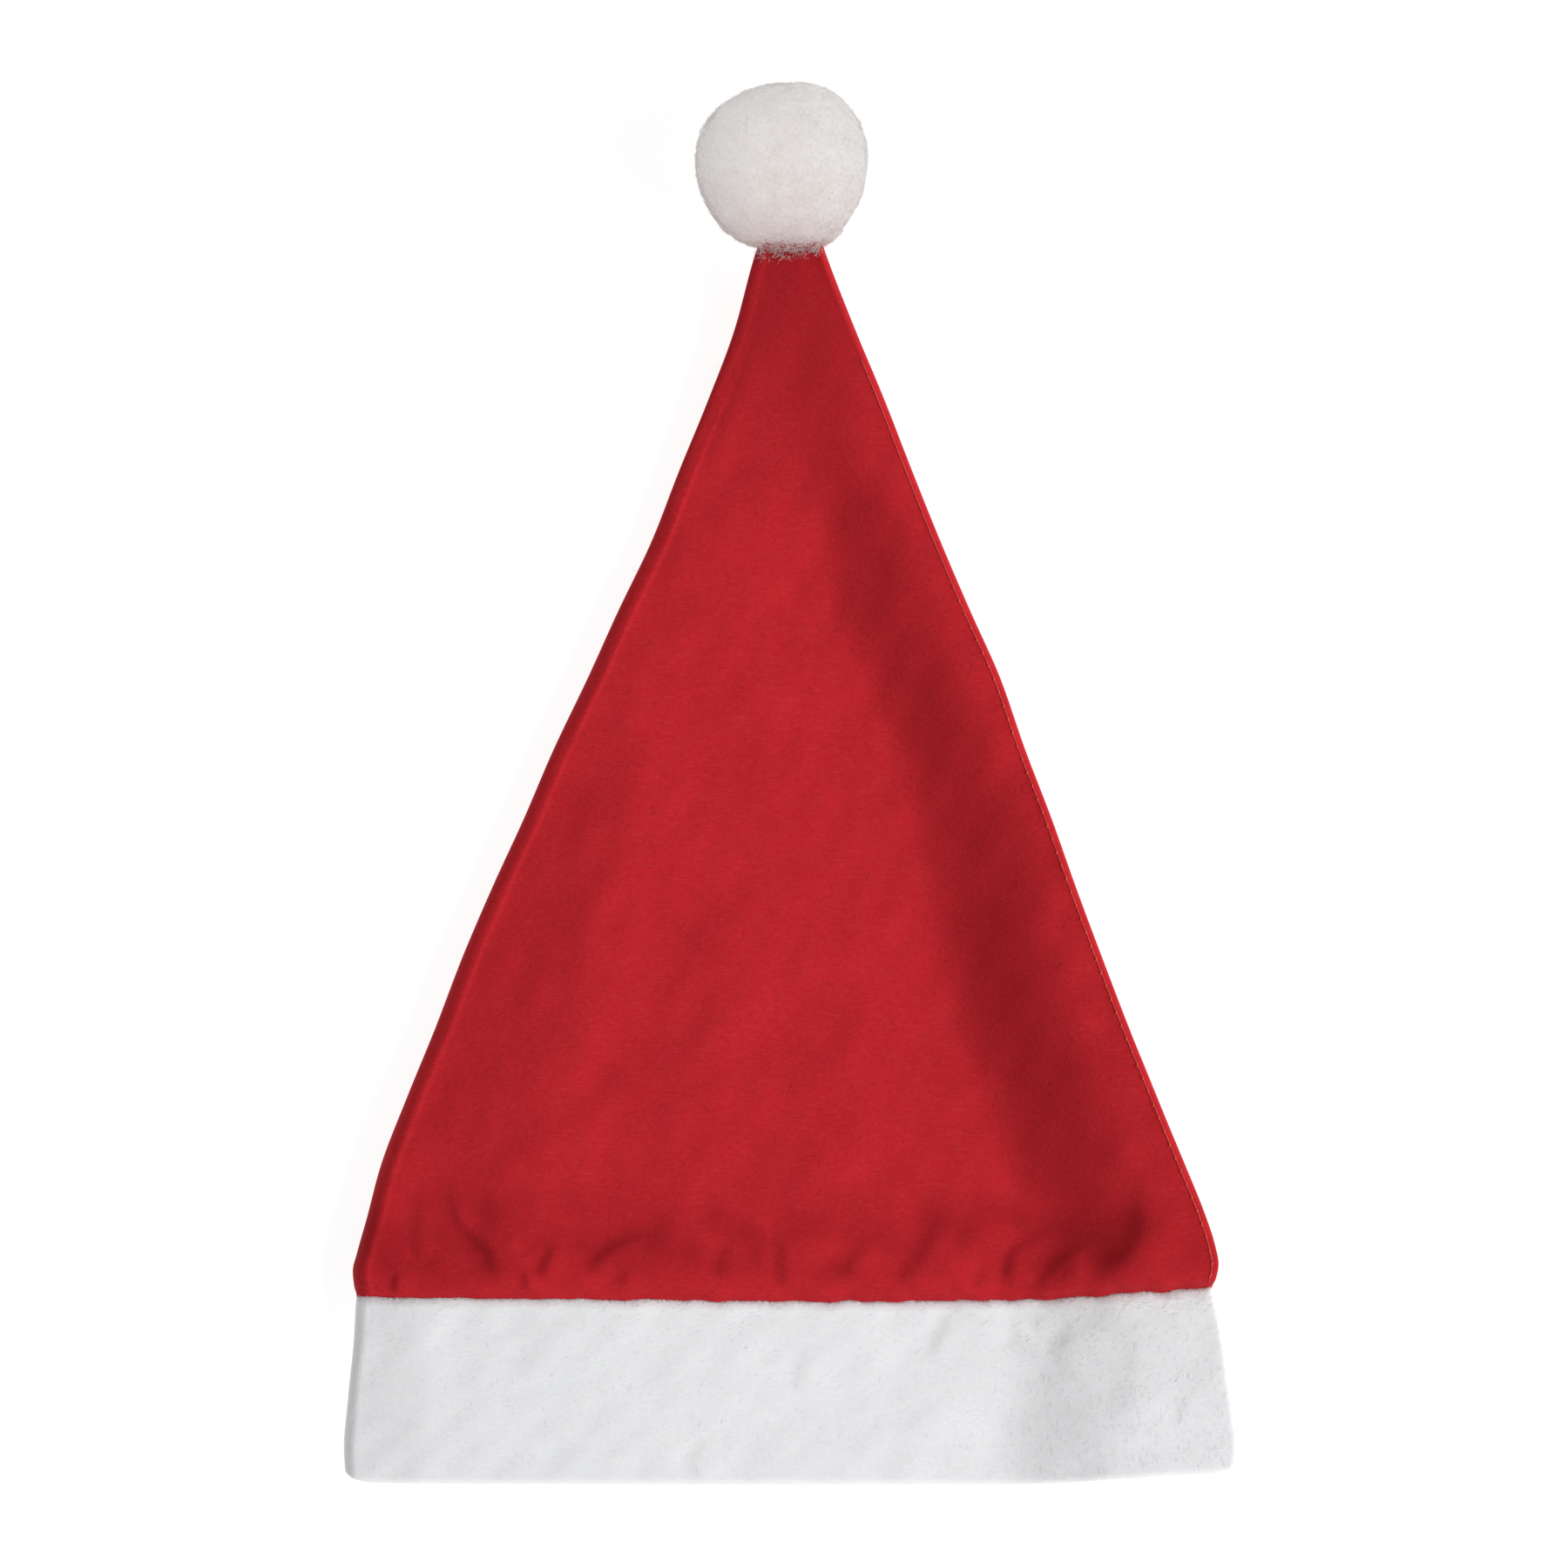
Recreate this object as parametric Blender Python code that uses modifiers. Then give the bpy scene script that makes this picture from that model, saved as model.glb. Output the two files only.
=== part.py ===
"""Felt santa hat lying flat on its back: a hollow red crown, a folded white band and a fibre pompom.

The hat lies along Y, from the rim to the pompom, with X across it and Z up from the surface below it.
Sizes are in millimetres, and MM turns them into Blender's metres. "Along" is a distance from the rim.
The crown is one sheet of felt, creased at the left and sewn into a seam at the right. The seam stands
up as a ridge with a trough beside it, and the sewn edge above the band is drawn into small gathers.
"""

import bisect
import math
import random
from collections import namedtuple

import bmesh
import bpy
from mathutils import Vector, kdtree

MM = 0.001

HAT_LENGTH = 452.8  # rim to the far side of the pompom
CROWN_WALL = 2.0  # one layer of felt
BAND_WALL = 3.0  # a strip folded double
SEWN_GAP = 0.3  # between pieces that are sewn to each other
SEAM_ALONG = 60.0  # where the band ends and the crown starts
SEAM_LIP = 1.4  # the straight edge that each piece has at the seam and the rim
FOLD_ROUND = 0.3  # how round the folded rim is, as a share of the band's thickness
CROWN_FROM = SEAM_ALONG + SEWN_GAP / 2 + SEAM_LIP  # where the crown's lip ends and its gathers start
TIP_ALONG = 409.0  # the gathered tip, inside the pompom
TIP_ROUND = 2.0  # how far the closed tip stands past its last section
TIP_SHOULDER = 0.75  # the share of that which is reached halfway in to the tip's middle

# How the ends of the band rise away from the rim's line, at the sewn side of the hat.
END_RISE = 4.0
END_RISE_FROM = 70.0
END_RISE_OVER = 70.0
END_RISE_FADES = (70.0, 130.0)
CORNER_SET_BACK = 3.0
CORNER_RADIUS = 9.0
CORNER_FADES = 18.0

# Each section across the hat: its sides, and the heights of the lines that run along it. From the
# crease at the left the top climbs to a shoulder and a crest, sinks to a trough and climbs a bank.
Section = namedtuple(
    "Section",
    "along left right side crease shoulder_at shoulder crest_at crest"
    " trough_at trough bank_at bank ridge under",
)
SECTIONS = [
    Section(0.0, -144.6, 144.4, 9, 17.0, -118, 22.0, -20, 25.0, 66, 24.5, 112, 31.0, 32.0, 0),
    Section(10.0, -145.0, 145.0, 9, 17.0, -118, 22.0, -20, 25.0, 66, 24.5, 112, 31.5, 32.0, 0),
    Section(28.0, -143.6, 142.8, 9, 17.0, -117, 22.0, -20, 25.0, 68, 24.5, 112, 32.0, 33.0, 0),
    Section(57.0, -141.2, 137.6, 9, 17.0, -114, 22.0, -20, 25.0, 70, 24.5, 112, 32.0, 33.0, 0),
    Section(60.0, -141.0, 136.4, 9, 16.0, -112, 21.0, -20, 24.0, 68, 23.5, 112, 31.0, 32.0, 0),
    Section(63.0, -141.9, 137.2, 9, 17.0, -108, 23.0, -10, 26.5, 66, 26.0, 112, 36.0, 38.0, 0),
    Section(68.0, -142.4, 137.9, 9, 17.0, -102, 24.0, 0, 28.0, 66, 27.0, 114, 39.0, 41.0, 0),
    Section(74.0, -141.0, 136.8, 9, 17.0, -94, 24.0, 0, 27.5, 72, 27.0, 116, 41.0, 42.5, 0),
    Section(85.0, -137.9, 133.4, 9, 17.0, -84, 24.0, 0, 27.0, 79, 27.0, 118, 42.5, 44.0, 0),
    Section(102.0, -133.4, 127.2, 9, 16.0, -78, 24.0, 0, 26.5, 68, 26.0, 111, 43.0, 44.5, 0),
    Section(125.0, -124.6, 118.4, 9, 16.0, -74, 23.5, 5, 25.5, 61, 24.0, 104, 41.5, 43.0, 0),
    Section(147.0, -115.6, 109.6, 9, 15.0, -66, 22.5, -20, 23.0, 52, 20.0, 95, 38.0, 39.5, 0),
    Section(170.0, -106.8, 100.9, 9, 14.5, -62, 21.0, -20, 21.5, 47, 18.0, 88, 34.5, 36.0, 0),
    Section(193.0, -97.0, 92.4, 8, 14.0, -58, 19.0, -20, 18.5, 42, 16.5, 82, 32.0, 33.5, 0),
    Section(215.0, -86.9, 84.7, 8, 13.5, -52, 17.5, -12, 16.0, 38, 15.0, 76, 29.5, 30.5, 0),
    Section(238.0, -77.0, 76.0, 8, 13.5, -44, 15.5, -12, 14.5, 31, 14.0, 67, 27.0, 28.0, 0),
    Section(261.0, -66.0, 68.0, 8, 13.0, -38, 14.5, -12, 14.0, 22, 13.5, 57, 26.0, 27.0, 0),
    Section(283.0, -56.0, 58.2, 8, 13.0, -32, 14.0, -12, 13.5, 12, 13.5, 48, 25.5, 26.5, 0),
    Section(306.0, -45.0, 48.4, 8, 12.5, -28, 13.5, -12, 14.0, 10, 14.5, 40, 24.5, 25.5, 0),
    Section(328.0, -36.4, 39.6, 9, 12.5, -22, 14.0, -10, 15.0, 4, 16.5, 28, 23.5, 24.5, 1),
    Section(351.0, -26.9, 30.6, 11, 14.0, -16, 15.5, -8, 16.5, 0, 18.0, 20, 24.0, 25.5, 3),
    Section(374.0, -18.2, 21.0, 13, 16.5, -9, 18.0, -3, 20.0, 4, 22.0, 13, 25.0, 26.5, 7),
    Section(397.0, -11.8, 12.0, 19, 22.5, -3.5, 23.8, 0, 25.0, 3, 26.0, 6, 27.0, 28.0, 15),
    Section(409.0, -7.5, 8.0, 21, 25.5, -2, 26.2, 0, 26.7, 2, 27.2, 4, 27.5, 28.0, 18),
]

# Gathers drawn into the crown above the band: each runs from its foot at the seam, leaning across
# by `lean` on its way up, and is pressed in by `depth` over its width.
Gather = namedtuple("Gather", "foot length lean width depth")
GATHERS = [
    Gather(-98.0, 40.0, -18.0, 12.0, 1.6),
    Gather(-68.0, 20.0, 14.0, 12.0, 1.4),
    Gather(-5.0, 24.0, 0.0, 12.0, 1.2),
    Gather(14.0, 24.0, 14.0, 12.0, 1.0),
    Gather(34.0, 32.0, 30.0, 13.0, 1.6),
    Gather(67.0, 24.0, 14.0, 12.0, 2.2),
    Gather(77.0, 20.0, 20.0, 12.0, 2.2),
]

CREASE_WIDTH = 5.0  # from the left side up to the crease
RIDGE_WIDTH = 6.0  # from the sewn ridge out to the right side
RIDGE_DROP = 8.0  # from the sewn ridge down to the right side
MOST_DROP = 0.45  # and no more than this share of the ridge's height
UNDER_ROLL = 12.0  # from the left side down to the flat underside
UNDER_CURL = 38.0  # the sewn edge curls up, and the felt below it lifts off from this far inside
MOST_ROLL = 0.24  # no roll is wider than this share of the hat
MOST_CURL = 0.4

# How many pieces each stretch of a section is divided into.
CREASE_STEPS = 3
TOP_STEPS = 46
RIDGE_STEPS = 4
UNDER_CURL_STEPS = 5
UNDER_ROLL_STEPS = 3
UNDERSIDE_STEPS = 6
CROWN_STATIONS = 24
CROWN_STATION_CROWDING = 1.3
BAND_STATIONS = 6

POMPOM_ALONG = 425.8
POMPOM_ACROSS = -2.5
POMPOM_WIDTH = 54.7
POMPOM_HEIGHT = 51.0
POMPOM_SQUASH = 2.5  # how much of the ball is flattened where it rests
POMPOM_DETAIL = 4  # how often the ball is divided, with a lock on each point of one level coarser
LOCK_ROOT = 0.945  # the hollows between the locks, as a share of the radius
LOCK_UNEVEN = 0.018
LOCK_SEED = 4
SEAT_GAP = 0.45
SEAT_STATIONS = [384.0, 391.0, 397.0, 403.0, TIP_ALONG + TIP_ROUND + SEAT_GAP]

FELT_ROUGHNESS = 0.95
FELT_RED = (0.46, 0.017, 0.024, 1.0)
FELT_WHITE = (0.78, 0.78, 0.80, 1.0)
FIBRE_WHITE = (0.78, 0.75, 0.73, 1.0)


def smooth_curve(places, values, place):
    """The value at a place on a smooth curve through the points, which never overshoots them."""
    if place <= places[0]:
        return values[0]
    if place >= places[-1]:
        return values[-1]
    steps = [b - a for a, b in zip(places, places[1:])]
    slopes = [(b - a) / step for a, b, step in zip(values, values[1:], steps)]

    def tangent(i):
        if i in (0, len(slopes)):
            return slopes[min(i, len(slopes) - 1)]
        before, after = slopes[i - 1], slopes[i]
        return 2 * before * after / (before + after) if before * after > 0 else 0.0

    i = bisect.bisect_right(places, place) - 1
    t = (place - places[i]) / steps[i]
    rise = values[i + 1] - values[i]
    start, end = tangent(i) * steps[i], tangent(i + 1) * steps[i]
    return values[i] + t * start + t * t * (3 * rise - 2 * start - end) + t**3 * (start + end - 2 * rise)


def smooth_step(value):
    share = min(max(value, 0.0), 1.0)
    return share * share * (3 - 2 * share)


def section_at(along):
    """The section at any distance from the rim, between those of the table."""
    places = [section.along for section in SECTIONS]
    columns = zip(*SECTIONS)
    return Section(*(smooth_curve(places, column, along) for column in columns))


def gathered(x, along):
    """How far the gathers press the crown in at a point of its top."""
    pressed = 0.0
    for gather in GATHERS:
        share = (along - CROWN_FROM) / gather.length
        if not 0.0 <= share <= 1.0:
            continue
        middle = gather.foot + gather.lean * share
        across = (x - middle) / (gather.width / 2)
        pressed += gather.depth * math.exp(-across * across) * math.sin(math.pi * share**0.6)
    return pressed


def along_shift(section, x):
    """How far a point lies past its section's line, where the band's ends rise and its corners are round."""
    fades_from, fades_to = END_RISE_FADES
    rising = 1.0 - smooth_step((section.along - fades_from) / (fades_to - fades_from))
    shift = END_RISE * smooth_step((x - END_RISE_FROM) / END_RISE_OVER) * rising
    from_side = min(x - section.left, section.right - x)
    if from_side < CORNER_RADIUS:
        round_off = 1.0 - math.sqrt(1.0 - (1.0 - max(from_side, 0.0) / CORNER_RADIUS) ** 2)
        shift += CORNER_SET_BACK * round_off * max(0.0, 1.0 - section.along / CORNER_FADES)
    return shift


def section_outline(section):
    """(x, z) all the way round a section: up the crease, over the top, down the ridge and back below."""
    width = section.right - section.left
    crease_width = min(CREASE_WIDTH, MOST_ROLL * width)
    ridge_width = min(RIDGE_WIDTH, MOST_ROLL * width)
    ridge_drop = min(RIDGE_DROP, MOST_DROP * (section.ridge - section.under))
    seam_side = section.ridge - ridge_drop
    under_roll = min(UNDER_ROLL, MOST_ROLL * width)
    under_curl = min(UNDER_CURL, MOST_CURL * width)
    crease_at = section.left + crease_width
    ridge_at = section.right - ridge_width
    inner_lines_at = [section.shoulder_at, section.crest_at, section.trough_at, section.bank_at]
    lines_at = [crease_at, *inner_lines_at, ridge_at]
    heights = [section.crease, section.shoulder, section.crest, section.trough, section.bank, section.ridge]

    outline = []
    for step in range(CREASE_STEPS):
        turn = math.pi / 2 * step / CREASE_STEPS
        x = section.left + crease_width * (1 - math.cos(turn))
        outline.append((x, section.side + (section.crease - section.side) * math.sin(turn)))
    for step in range(TOP_STEPS):
        x = crease_at + (ridge_at - crease_at) * step / TOP_STEPS
        outline.append((x, smooth_curve(lines_at, heights, x) - gathered(x, section.along)))
    for step in range(RIDGE_STEPS):
        turn = math.pi / 2 * step / RIDGE_STEPS
        x = ridge_at + ridge_width * math.sin(turn)
        outline.append((x, seam_side + ridge_drop * math.cos(turn)))
    for step in range(UNDER_CURL_STEPS):
        share = step / UNDER_CURL_STEPS
        x = section.right - under_curl * share
        outline.append((x, section.under + (seam_side - section.under) * (1 - share) ** 2))
    for step in range(UNDERSIDE_STEPS):
        share = step / UNDERSIDE_STEPS
        x = section.right - under_curl - (width - under_curl - under_roll) * share
        outline.append((x, section.under))
    for step in range(UNDER_ROLL_STEPS):
        turn = math.pi / 2 * step / UNDER_ROLL_STEPS
        x = section.left + under_roll * (1 - math.sin(turn))
        outline.append((x, section.side - (section.side - section.under) * math.cos(turn)))
    return outline


def grown(section, by):
    """A section made larger all round."""
    return section._replace(
        left=section.left - by,
        right=section.right + by,
        crease=section.crease + by,
        shoulder=section.shoulder + by,
        crest=section.crest + by,
        trough=section.trough + by,
        bank=section.bank + by,
        ridge=section.ridge + by,
        under=section.under - by,
    )


def place(x, along, z):
    """A point of the hat in metres, with the origin below the middle of its length."""
    return Vector((x, along - HAT_LENGTH / 2, z)) * MM


def add_ring(mesh, section):
    return [
        mesh.verts.new(place(x, section.along + along_shift(section, x), z))
        for x, z in section_outline(section)
    ]


def join_rings(mesh, first, second):
    for i in range(len(first)):
        after = (i + 1) % len(first)
        mesh.faces.new((first[i], second[i], second[after], first[after]))


def add_loft(mesh, sections):
    """A skin over the sections, open at both ends. It returns the rings that its ends lie on."""
    rings = [add_ring(mesh, section) for section in sections]
    for first, second in zip(rings, rings[1:]):
        join_rings(mesh, first, second)
    return rings[0], rings[-1]


def close_tip(mesh, ring):
    """Closes a ring over a blunt point, as the felt is drawn together at the tip."""
    middle = sum((vertex.co for vertex in ring), Vector()) / len(ring)
    inner = [
        mesh.verts.new(vertex.co.lerp(middle, 0.5) + Vector((0, TIP_SHOULDER * TIP_ROUND * MM, 0)))
        for vertex in ring
    ]
    join_rings(mesh, ring, inner)
    point = mesh.verts.new(middle + Vector((0, TIP_ROUND * MM, 0)))
    for i, vertex in enumerate(inner):
        mesh.faces.new((vertex, point, inner[(i + 1) % len(inner)]))


def new_material(name, colour):
    material = bpy.data.materials.new(name)
    material.use_nodes = True
    shader = material.node_tree.nodes["Principled BSDF"]
    shader.inputs["Base Color"].default_value = colour
    shader.inputs["Roughness"].default_value = FELT_ROUGHNESS
    shader.inputs["Metallic"].default_value = 0.0
    return material


def new_object(name, mesh, material, collection):
    """Turns a bmesh into an object of the collection, with its faces pointing out and shaded smooth."""
    bmesh.ops.recalc_face_normals(mesh, faces=mesh.faces)
    data = bpy.data.meshes.new(name)
    mesh.to_mesh(data)
    mesh.free()
    data.shade_smooth()
    if material:
        data.materials.append(material)
    made = bpy.data.objects.new(name, data)
    collection.objects.link(made)
    return made


def add_wall(piece, thickness):
    wall = piece.modifiers.new("Felt", "SOLIDIFY")
    wall.thickness = thickness * MM
    wall.offset = -1.0


def build_crown(material, collection):
    """One sheet of felt from the seam with the band to the gathered tip."""
    edge = section_at(SEAM_ALONG)._replace(along=CROWN_FROM - SEAM_LIP)
    shares = [(step / CROWN_STATIONS) ** CROWN_STATION_CROWDING for step in range(1, CROWN_STATIONS + 1)]
    sections = [section_at(CROWN_FROM + (TIP_ALONG - CROWN_FROM) * share) for share in shares]
    mesh = bmesh.new()
    _, tip = add_loft(mesh, [edge, edge._replace(along=CROWN_FROM), *sections])
    close_tip(mesh, tip)
    crown = new_object("crown", mesh, material, collection)
    add_wall(crown, CROWN_WALL)
    return crown


def build_band(material, collection):
    """The white strip, folded double at the rim, where its edge is round."""
    edge = section_at(SEAM_ALONG)._replace(along=SEAM_ALONG - SEWN_GAP / 2)
    end = edge.along - SEAM_LIP
    rim = section_at(0.0)
    sections = [section_at(end * step / BAND_STATIONS) for step in range(1, BAND_STATIONS)]
    mesh = bmesh.new()
    add_loft(mesh, [rim, rim._replace(along=SEAM_LIP), *sections, edge._replace(along=end), edge])
    band = new_object("band", mesh, material, collection)
    add_wall(band, BAND_WALL)
    fold = band.modifiers.new("Fold", "BEVEL")
    fold.width = FOLD_ROUND * BAND_WALL * MM
    fold.segments = 2
    fold.limit_method = "ANGLE"
    fold.angle_limit = math.radians(60)
    return band


def lock_tips():
    """The directions in which the pompom's locks point."""
    ball = bmesh.new()
    bmesh.ops.create_icosphere(ball, subdivisions=POMPOM_DETAIL - 1, radius=1.0)
    tips = kdtree.KDTree(len(ball.verts))
    for vertex in ball.verts:
        tips.insert(vertex.co, vertex.index)
    tips.balance()
    ball.free()
    return tips


def build_pompom(material, collection):
    """A ball of short locks of fibre on one core, flattened where it rests."""
    draw = random.Random(LOCK_SEED)
    tips = lock_tips()
    ball = bmesh.new()
    bmesh.ops.create_icosphere(ball, subdivisions=POMPOM_DETAIL, radius=1.0)
    for vertex in ball.verts:
        _, _, from_tip = tips.find(vertex.co)
        reach = 1.0 if from_tip < 0.01 else LOCK_ROOT
        vertex.co *= reach + draw.uniform(-LOCK_UNEVEN, LOCK_UNEVEN)
    lowest = Vector(min(vertex.co[axis] for vertex in ball.verts) for axis in range(3))
    highest = Vector(max(vertex.co[axis] for vertex in ball.verts) for axis in range(3))
    length = 2 * (HAT_LENGTH - POMPOM_ALONG)
    wanted = Vector((POMPOM_WIDTH, length, POMPOM_HEIGHT + POMPOM_SQUASH))
    corner = place(POMPOM_ACROSS - wanted.x / 2, POMPOM_ALONG - wanted.y / 2, -POMPOM_SQUASH)
    for vertex in ball.verts:
        for axis in range(3):
            share = (vertex.co[axis] - lowest[axis]) / (highest[axis] - lowest[axis])
            vertex.co[axis] = corner[axis] + share * wanted[axis] * MM
        vertex.co.z = max(vertex.co.z, 0.0)
    return new_object("pompom", ball, material, collection)


def cut_seat(pompom, cutters):
    """Opens the pompom round the crown's tip, which is sewn into it."""
    mesh = bmesh.new()
    sections = [grown(section_at(along), SEAT_GAP)._replace(along=along) for along in SEAT_STATIONS]
    first, last = add_loft(mesh, sections)
    mesh.faces.new(first)
    mesh.faces.new(last)
    cutter = new_object("pompom_seat_cutter", mesh, None, cutters)
    cutter.hide_render = True
    cutter.display_type = "WIRE"
    seat = pompom.modifiers.new("Seat", "BOOLEAN")
    seat.operation = "DIFFERENCE"
    seat.object = cutter


def main():
    for old in list(bpy.data.objects):
        bpy.data.objects.remove(old, do_unlink=True)
    hat = bpy.data.collections.new("santa_hat")
    cutters = bpy.data.collections.new("cutters")
    for collection in (hat, cutters):
        bpy.context.scene.collection.children.link(collection)

    build_crown(new_material("red_felt", FELT_RED), hat)
    build_band(new_material("white_felt", FELT_WHITE), hat)
    pompom = build_pompom(new_material("white_fibre", FIBRE_WHITE), hat)
    cut_seat(pompom, cutters)


main()
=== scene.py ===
import math

import bmesh
import bpy
import numpy as np
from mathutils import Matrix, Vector


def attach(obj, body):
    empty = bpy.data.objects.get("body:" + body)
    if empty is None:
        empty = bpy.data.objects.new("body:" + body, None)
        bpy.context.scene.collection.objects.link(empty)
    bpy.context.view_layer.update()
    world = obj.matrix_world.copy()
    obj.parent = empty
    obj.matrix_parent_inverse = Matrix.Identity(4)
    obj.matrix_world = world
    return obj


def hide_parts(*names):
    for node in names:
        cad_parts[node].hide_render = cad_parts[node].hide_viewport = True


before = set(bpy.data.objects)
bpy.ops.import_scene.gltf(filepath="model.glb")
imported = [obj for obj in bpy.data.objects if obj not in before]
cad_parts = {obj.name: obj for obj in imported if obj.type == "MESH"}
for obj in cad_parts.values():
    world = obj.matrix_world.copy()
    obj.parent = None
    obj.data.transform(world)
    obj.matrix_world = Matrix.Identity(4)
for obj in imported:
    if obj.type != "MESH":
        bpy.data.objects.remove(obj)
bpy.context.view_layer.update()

mm = 0.001
body = "root"

# The hat lies along Y with its rim at the front. Lengths are in millimetres: "along" is from the rim,
# heights from the surface that the hat lies on.
hat = {
    "length": 452.8,
    "seamAlong": 60.0,  # where the band ends and the crown starts
    "sewnGap": 0.06,  # between the sewn pieces
    "turnedIn": 0.8,  # how round the two edges are where they turn in to be sewn
    "tipAlong": 409.0,  # where the crown ends, inside the pompom
    "creaseWidth": 5.0,  # the steep strip beside the fold at the left
    "seamFromSide": 2.3,  # the side seam runs this far inside the right outline
    "seamSquareness": 0.72,  # how sharply the felt turns down past the seam
    "seamDrop": 5.0,  # from the seam down to the widest line at the right
    "mostDrop": 0.45,  # and at most this share of the height there
    "underRoll": 12.0,  # from the left side down to the flat underside
    "underCurl": 38.0,  # the felt below the sewn edge lifts off from this far inside
    "mostRoll": 0.24,  # the rolls are no wider than this share of the hat
    "mostCurl": 0.4,  # and the curl than this share
    "endRise": (4.0, 70.0, 70.0),  # the band's right end rises this much, from this x, over this width
    "endRiseFades": (70.0, 130.0),
    "seamSag": (1.0, 15.0, 70.0, 16.0),  # the seam runs lower in the middle: by what, where, width, reach
    "seamWobble": (9.0, 0.22, 5.0, 8),  # and wavers: size, height, how far it reaches along, seed
    "cornerRound": (3.0, 9.0, 18.0),  # the rim's corners: set back, radius, where it fades along
}

# The hat's cross-sections: its sides, and the heights at places across its top
sectionColumns = ("along", "left", "right", "side", "crease", "shoulderAt", "shoulder", "crestAt", "crest",
                  "troughAt", "trough", "bankAt", "bank", "ridge", "under")
sectionRows = [
    (0.0, -144.6, 144.4, 13.5, 18.5, -118, 22, -20, 25, 66, 24.5, 112, 31.0, 32, 0),
    (10.0, -145.0, 145.0, 13.5, 18.5, -118, 22, -20, 25, 66, 24.5, 112, 31.5, 32, 0),
    (28.0, -143.6, 142.8, 13.5, 18.5, -117, 22, -20, 25, 68, 24.5, 112, 32.0, 33, 0),
    (46.0, -141.8, 140.2, 13.5, 18.5, -116, 22, -20, 25, 70, 24.5, 112, 32.0, 33, 0),
    (57.0, -141.2, 137.6, 13.5, 18.5, -114, 22, -20, 25, 70, 24.5, 112, 32.0, 33, 0),
    (60.0, -141.0, 136.4, 11.5, 17, -112, 21, -20, 24, 68, 23.5, 112, 31.0, 32, 0),
    (63.0, -141.9, 137.2, 9, 17, -108, 23, -10, 26.5, 66, 26.0, 112, 36.0, 38, 0),
    (68.0, -142.4, 137.9, 9, 17, -102, 24, 0, 28, 66, 27.0, 114, 39.0, 41, 0),
    (74.0, -141.0, 136.8, 9, 17, -94, 24, 0, 27.5, 72, 27.0, 116, 41.0, 42.5, 0),
    (85.0, -137.9, 133.4, 9, 17, -84, 24, 0, 27, 79, 27.0, 118, 42.5, 44, 0),
    (102.0, -133.4, 127.2, 9, 16, -78, 24, 0, 26.5, 67, 25.2, 111, 43.0, 44.5, 0),
    (125.0, -124.6, 118.4, 9, 16, -74, 23.5, 5, 25.5, 61, 24.0, 104, 41.5, 43, 0),
    (147.0, -115.6, 109.6, 9, 15, -66, 22.5, -20, 23, 52, 20.0, 95, 38.0, 39.5, 0),
    (170.0, -106.8, 100.9, 9, 14.5, -62, 21, -20, 21.5, 47, 18.0, 88, 34.5, 36, 0),
    (193.0, -97.0, 92.4, 8, 14, -58, 19, -20, 18.5, 42, 16.5, 82, 32.0, 33.5, 0),
    (215.0, -86.9, 84.7, 8, 13.5, -52, 17.5, -12, 16, 38, 15.0, 76, 29.5, 30.5, 0),
    (238.0, -77.0, 76.0, 8, 13.5, -44, 15.5, -12, 14.5, 31, 14.0, 67, 27.0, 28, 0),
    (261.0, -66.0, 68.0, 8, 13, -38, 14.5, -12, 14, 22, 13.5, 57, 26.0, 27, 0),
    (283.0, -56.0, 58.2, 8, 13, -32, 14, -12, 13.5, 12, 13.5, 48, 25.5, 26.5, 0),
    (306.0, -45.0, 48.4, 8, 12.5, -28, 13.5, -12, 14, 10, 14.5, 40, 24.5, 25.5, 0),
    (328.0, -36.4, 39.6, 9, 12.5, -22, 14, -10, 15, 4, 16.5, 28, 23.5, 24.5, 1),
    (351.0, -26.9, 30.6, 11, 14, -16, 15.5, -8, 16.5, 0, 18.0, 20, 24.0, 25.5, 3),
    (374.0, -18.2, 21.0, 13, 16.5, -9, 18, -3, 20, 4, 22.0, 13, 25.0, 26.5, 7),
    (397.0, -11.8, 12.0, 19, 22.5, -3.5, 23.8, 0, 25, 3, 26.0, 7, 27.0, 28, 15),
    (409.0, -7.5, 8.0, 21, 25.5, -2, 26.2, 0, 26.7, 2, 27.2, 4, 27.5, 28, 18),
]


def smoothCurve(places, values, at):
    # a smooth line through the points that never overshoots them
    places, values, at = (np.asarray(row, dtype=float) for row in (places, values, at))
    knots, rises = places[None, :], values[None, :]
    return acrossCurve(knots, rises, np.atleast_1d(at)[None, :])[0].reshape(at.shape)


def acrossCurve(knots, values, x):
    # the same for many sections at once, each row with knots of its own
    steps = np.diff(knots, axis=1)
    slopes = np.diff(values, axis=1) / steps
    before, after = slopes[:, :-1], slopes[:, 1:]
    sameWay = before * after > 0
    inner = np.where(sameWay, 2 * before * after / np.where(sameWay, before + after, 1.0), 0.0)
    tangents = np.concatenate([slopes[:, :1], inner, slopes[:, -1:]], axis=1)
    height = np.repeat(values[:, :1], x.shape[1], axis=1)
    for i in range(steps.shape[1]):
        step = steps[:, i:i + 1]
        t = np.clip((x - knots[:, i:i + 1]) / step, 0.0, 1.0)
        rise = values[:, i + 1:i + 2] - values[:, i:i + 1]
        start, end = tangents[:, i:i + 1] * step, tangents[:, i + 1:i + 2] * step
        height = height + t * start + t * t * (3 * rise - 2 * start - end) + t**3 * (start + end - 2 * rise)
    return height


def unit(vectors):
    return vectors / np.linalg.norm(vectors, axis=1)[:, None]


def alongOf(middle):
    return middle[:, 1] + hat["length"] / 2


def smoothStep(value):
    share = np.clip(value, 0.0, 1.0)
    return share * share * (3 - 2 * share)


def sectionAt(along):
    table = np.array(sectionRows)
    return {name: smoothCurve(table[:, 0], table[:, i], along) for i, name in enumerate(sectionColumns)}


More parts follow.
